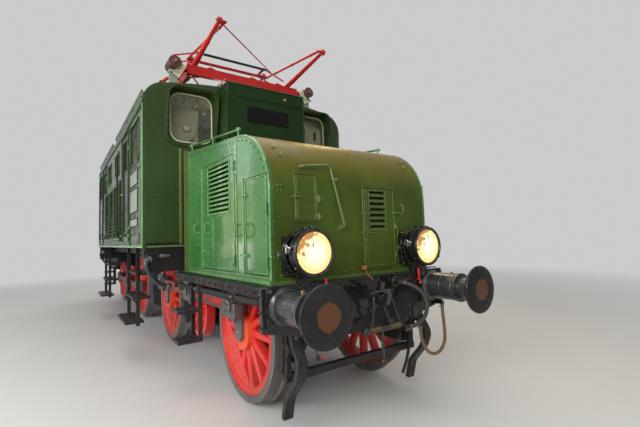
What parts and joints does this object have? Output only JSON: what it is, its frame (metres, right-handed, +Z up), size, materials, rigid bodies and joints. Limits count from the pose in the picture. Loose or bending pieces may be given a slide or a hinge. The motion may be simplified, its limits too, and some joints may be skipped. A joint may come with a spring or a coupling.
{
  "type": "electric locomotive",
  "caption": "Rod-drive electric locomotive: two-cab body on two bogies, each with a motor hood, jackshaft, spoked wheels and coupling rods, and two pantographs on the roof",
  "frame": {"origin": "floor level under the wheel flanges, midway between the buffers and between the wheels", "axes": "+X along the track towards the front hood, +Y to the left side, +Z up"},
  "size_m": [11.6, 3.208, 4.5712],
  "materials": {
    "green_paint": "gloss",
    "hood_paint": "gloss",
    "red_paint": "satin",
    "black_paint": "gloss",
    "bare_steel": "satin",
    "insulator": "gloss",
    "glass": "gloss",
    "beige_paint": "satin",
    "dark_iron": "satin",
    "hose_rubber": "matt",
    "wheel_steel": "satin"
  },
  "bodies": {
    "body": {"underframe": "black_paint", "side_walls": "green_paint", "roof": "green_paint", "end_wall_front": "green_paint", "end_wall_rear": "green_paint", "window_glass": "glass", "partitions": "beige_paint", "transformer": "dark_iron", "side_louvres": "black_paint", "ladders_and_handrails": "black_paint", "pantograph_bases": "red_paint", "roof_insulators": "insulator"},
    "bogie_front": {"bogie_frame_front": "black_paint", "hood_front": "hood_paint", "buffers_front": "black_paint", "headlamps_front": "black_paint", "coupling_front": "dark_iron", "brake_gear_front": "black_paint", "motor_front": "dark_iron", "brake_hose_right": "hose_rubber", "brake_hose_left": "hose_rubber"},
    "wheelset_front_1": {"wheelset_front_1": "wheel_steel"},
    "wheelset_front_2": {"wheelset_front_2": "wheel_steel"},
    "jackshaft_front": {"jackshaft_front": "wheel_steel"},
    "rods_front_right": {"coupling_rods_front_right": "red_paint"},
    "front_hood_door_louvred_right": {"front_hood_door_right": "hood_paint"},
    "front_hood_door_front_right": {"front_hood_front_door_right": "hood_paint"},
    "cab_door_front_right": {"cab_door_front_right": "green_paint"},
    "rods_front_left": {"coupling_rods_front_left": "red_paint"},
    "front_hood_door_louvred_left": {"front_hood_door_left": "hood_paint"},
    "front_hood_door_front_left": {"front_hood_front_door_left": "hood_paint"},
    "cab_door_front_left": {"cab_door_front_left": "green_paint"},
    "pantograph_front_lower_outer": {"pantograph_front_lower_outer": "red_paint"},
    "pantograph_front_lower_inner": {"pantograph_front_lower_inner": "red_paint"},
    "pantograph_front_upper_outer": {"pantograph_front_upper_outer": "red_paint"},
    "pantograph_front_upper_inner": {"pantograph_front_upper_inner": "red_paint"},
    "pantograph_front_head": {"pantograph_front_head": "red_paint"},
    "bogie_rear": {"bogie_frame_rear": "black_paint", "hood_rear": "hood_paint", "buffers_rear": "black_paint", "headlamps_rear": "black_paint", "coupling_rear": "dark_iron", "brake_gear_rear": "black_paint", "motor_rear": "dark_iron"},
    "wheelset_rear_1": {"wheelset_rear_1": "wheel_steel"},
    "wheelset_rear_2": {"wheelset_rear_2": "wheel_steel"},
    "jackshaft_rear": {"jackshaft_rear": "wheel_steel"},
    "rods_rear_right": {"coupling_rods_rear_right": "red_paint"},
    "rear_hood_door_louvred_right": {"rear_hood_door_right": "hood_paint"},
    "rear_hood_door_front_right": {"rear_hood_front_door_right": "hood_paint"},
    "cab_door_rear_right": {"cab_door_rear_right": "green_paint"},
    "rods_rear_left": {"coupling_rods_rear_left": "red_paint"},
    "rear_hood_door_louvred_left": {"rear_hood_door_left": "hood_paint"},
    "rear_hood_door_front_left": {"rear_hood_front_door_left": "hood_paint"},
    "cab_door_rear_left": {"cab_door_rear_left": "green_paint"},
    "pantograph_rear_lower_outer": {"pantograph_rear_lower_outer": "red_paint"},
    "pantograph_rear_lower_inner": {"pantograph_rear_lower_inner": "red_paint"},
    "pantograph_rear_upper_outer": {"pantograph_rear_upper_outer": "red_paint"},
    "pantograph_rear_upper_inner": {"pantograph_rear_upper_inner": "red_paint"},
    "pantograph_rear_head": {"pantograph_rear_head": "red_paint"}
  },
  "joints": [
    {"name": "bogie_swing_front", "type": "hinge", "parent": "body", "child": "bogie_front", "pos_m": [2.75, 0, 1.3], "axis": [0, 0, 1], "range_deg": [-3, 3]},
    {"name": "front_axle_1", "type": "hinge", "parent": "bogie_front", "child": "wheelset_front_1", "pos_m": [4.25, 0, 0.703], "axis": [0, 1, 0], "continuous": true},
    {"name": "front_axle_2", "type": "hinge", "parent": "bogie_front", "child": "wheelset_front_2", "pos_m": [1.25, 0, 0.703], "axis": [0, 1, 0], "continuous": true},
    {"name": "front_jackshaft_turn", "type": "hinge", "parent": "bogie_front", "child": "jackshaft_front", "pos_m": [2.75, 0, 0.703], "axis": [0, 1, 0], "continuous": true},
    {"name": "front_rod_pin_right", "type": "hinge", "parent": "wheelset_front_1", "child": "rods_front_right", "pos_m": [4.25, -0.93, 0.968], "axis": [0, 1, 0], "continuous": true},
    {"name": "front_hood_door_louvred_right_hinge", "type": "hinge", "parent": "bogie_front", "child": "front_hood_door_louvred_right", "pos_m": [4.4484, -0.9745, 1.873], "axis": [0, 0, 1], "range_deg": [0, 100]},
    {"name": "front_hood_door_front_right_hinge", "type": "hinge", "parent": "bogie_front", "child": "front_hood_door_front_right", "pos_m": [5.0834, -0.95323, 1.728], "axis": [0, 0, 1], "range_deg": [0, 100]},
    {"name": "cab_door_front_right_hinge", "type": "hinge", "parent": "body", "child": "cab_door_front_right", "pos_m": [1.848, -1.468, 2.4], "axis": [0, 0, -1], "range_deg": [0, 85]},
    {"name": "front_rod_pin_left", "type": "hinge", "parent": "wheelset_front_1", "child": "rods_front_left", "pos_m": [3.985, 0.93, 0.703], "axis": [0, 1, 0], "continuous": true},
    {"name": "front_hood_door_louvred_left_hinge", "type": "hinge", "parent": "bogie_front", "child": "front_hood_door_louvred_left", "pos_m": [4.4484, 0.9745, 1.873], "axis": [0, 0, -1], "range_deg": [0, 100]},
    {"name": "front_hood_door_front_left_hinge", "type": "hinge", "parent": "bogie_front", "child": "front_hood_door_front_left", "pos_m": [5.0834, 0.95323, 1.728], "axis": [0, 0, -1], "range_deg": [0, 100]},
    {"name": "cab_door_front_left_hinge", "type": "hinge", "parent": "body", "child": "cab_door_front_left", "pos_m": [1.848, 1.468, 2.4], "axis": [0, 0, 1], "range_deg": [0, 85]},
    {"name": "pantograph_front_raise", "type": "hinge", "parent": "body", "child": "pantograph_front_lower_outer", "pos_m": [2.44, 0, 4.128], "axis": [0, -1, 0], "range_deg": [0, 50]},
    {"name": "pantograph_front_lower_inner_shaft", "type": "hinge", "parent": "body", "child": "pantograph_front_lower_inner", "pos_m": [1.46, 0, 4.128], "axis": [0, 1, 0], "range_deg": [0, 50]},
    {"name": "pantograph_front_outer_knee", "type": "hinge", "parent": "pantograph_front_lower_outer", "child": "pantograph_front_upper_outer", "pos_m": [3.5752, 0, 4.27745], "axis": [0, 1, 0], "range_deg": [0, 90]},
    {"name": "pantograph_front_inner_knee", "type": "hinge", "parent": "pantograph_front_lower_inner", "child": "pantograph_front_upper_inner", "pos_m": [0.3248, 0, 4.27745], "axis": [0, -1, 0], "range_deg": [0, 90]},
    {"name": "pantograph_front_head_pivot", "type": "hinge", "parent": "pantograph_front_upper_outer", "child": "pantograph_front_head", "pos_m": [1.95, 0, 4.49725], "axis": [0, -1, 0], "range_deg": [0, 40]},
    {"name": "bogie_swing_rear", "type": "hinge", "parent": "body", "child": "bogie_rear", "pos_m": [-2.75, 0, 1.3], "axis": [0, 0, 1], "range_deg": [-3, 3]},
    {"name": "rear_axle_1", "type": "hinge", "parent": "bogie_rear", "child": "wheelset_rear_1", "pos_m": [-4.25, 0, 0.703], "axis": [0, 1, 0], "continuous": true},
    {"name": "rear_axle_2", "type": "hinge", "parent": "bogie_rear", "child": "wheelset_rear_2", "pos_m": [-1.25, 0, 0.703], "axis": [0, 1, 0], "continuous": true},
    {"name": "rear_jackshaft_turn", "type": "hinge", "parent": "bogie_rear", "child": "jackshaft_rear", "pos_m": [-2.75, 0, 0.703], "axis": [0, 1, 0], "continuous": true},
    {"name": "rear_rod_pin_right", "type": "hinge", "parent": "wheelset_rear_1", "child": "rods_rear_right", "pos_m": [-3.985, -0.93, 0.703], "axis": [0, 1, 0], "continuous": true},
    {"name": "rear_hood_door_louvred_right_hinge", "type": "hinge", "parent": "bogie_rear", "child": "rear_hood_door_louvred_right", "pos_m": [-4.4484, -0.9745, 1.873], "axis": [0, 0, -1], "range_deg": [0, 100]},
    {"name": "rear_hood_door_front_right_hinge", "type": "hinge", "parent": "bogie_rear", "child": "rear_hood_door_front_right", "pos_m": [-5.0834, -0.95323, 1.728], "axis": [0, 0, -1], "range_deg": [0, 100]},
    {"name": "cab_door_rear_right_hinge", "type": "hinge", "parent": "body", "child": "cab_door_rear_right", "pos_m": [-1.848, -1.468, 2.4], "axis": [0, 0, 1], "range_deg": [0, 85]},
    {"name": "rear_rod_pin_left", "type": "hinge", "parent": "wheelset_rear_1", "child": "rods_rear_left", "pos_m": [-4.25, 0.93, 0.968], "axis": [0, 1, 0], "continuous": true},
    {"name": "rear_hood_door_louvred_left_hinge", "type": "hinge", "parent": "bogie_rear", "child": "rear_hood_door_louvred_left", "pos_m": [-4.4484, 0.9745, 1.873], "axis": [0, 0, 1], "range_deg": [0, 100]},
    {"name": "rear_hood_door_front_left_hinge", "type": "hinge", "parent": "bogie_rear", "child": "rear_hood_door_front_left", "pos_m": [-5.0834, 0.95323, 1.728], "axis": [0, 0, 1], "range_deg": [0, 100]},
    {"name": "cab_door_rear_left_hinge", "type": "hinge", "parent": "body", "child": "cab_door_rear_left", "pos_m": [-1.848, 1.468, 2.4], "axis": [0, 0, -1], "range_deg": [0, 85]},
    {"name": "pantograph_rear_raise", "type": "hinge", "parent": "body", "child": "pantograph_rear_lower_outer", "pos_m": [-2.44, 0, 4.128], "axis": [0, 1, 0], "range_deg": [0, 50]},
    {"name": "pantograph_rear_lower_inner_shaft", "type": "hinge", "parent": "body", "child": "pantograph_rear_lower_inner", "pos_m": [-1.46, 0, 4.128], "axis": [0, -1, 0], "range_deg": [0, 50]},
    {"name": "pantograph_rear_outer_knee", "type": "hinge", "parent": "pantograph_rear_lower_outer", "child": "pantograph_rear_upper_outer", "pos_m": [-3.5752, 0, 4.27745], "axis": [0, -1, 0], "range_deg": [0, 90]},
    {"name": "pantograph_rear_inner_knee", "type": "hinge", "parent": "pantograph_rear_lower_inner", "child": "pantograph_rear_upper_inner", "pos_m": [-0.3248, 0, 4.27745], "axis": [0, 1, 0], "range_deg": [0, 90]},
    {"name": "pantograph_rear_head_pivot", "type": "hinge", "parent": "pantograph_rear_upper_outer", "child": "pantograph_rear_head", "pos_m": [-1.95, 0, 4.49725], "axis": [0, 1, 0], "range_deg": [0, 40]}
  ],
  "couplings": [
    {"joint": "front_axle_2", "follows": "front_axle_1", "ratio": 1},
    {"joint": "front_jackshaft_turn", "follows": "front_axle_1", "ratio": 1},
    {"joint": "front_rod_pin_right", "follows": "front_axle_1", "ratio": -1},
    {"joint": "front_rod_pin_left", "follows": "front_axle_1", "ratio": -1},
    {"joint": "pantograph_front_lower_inner_shaft", "follows": "pantograph_front_raise", "ratio": 1},
    {"joint": "pantograph_front_outer_knee", "follows": "pantograph_front_raise", "ratio": 1.7955},
    {"joint": "pantograph_front_inner_knee", "follows": "pantograph_front_raise", "ratio": 1.7955},
    {"joint": "pantograph_front_head_pivot", "follows": "pantograph_front_raise", "ratio": 0.7955},
    {"joint": "rear_axle_2", "follows": "rear_axle_1", "ratio": 1},
    {"joint": "rear_jackshaft_turn", "follows": "rear_axle_1", "ratio": 1},
    {"joint": "rear_rod_pin_right", "follows": "rear_axle_1", "ratio": -1},
    {"joint": "rear_rod_pin_left", "follows": "rear_axle_1", "ratio": -1},
    {"joint": "pantograph_rear_lower_inner_shaft", "follows": "pantograph_rear_raise", "ratio": 1},
    {"joint": "pantograph_rear_outer_knee", "follows": "pantograph_rear_raise", "ratio": 1.7955},
    {"joint": "pantograph_rear_inner_knee", "follows": "pantograph_rear_raise", "ratio": 1.7955},
    {"joint": "pantograph_rear_head_pivot", "follows": "pantograph_rear_raise", "ratio": 0.7955}
  ]
}
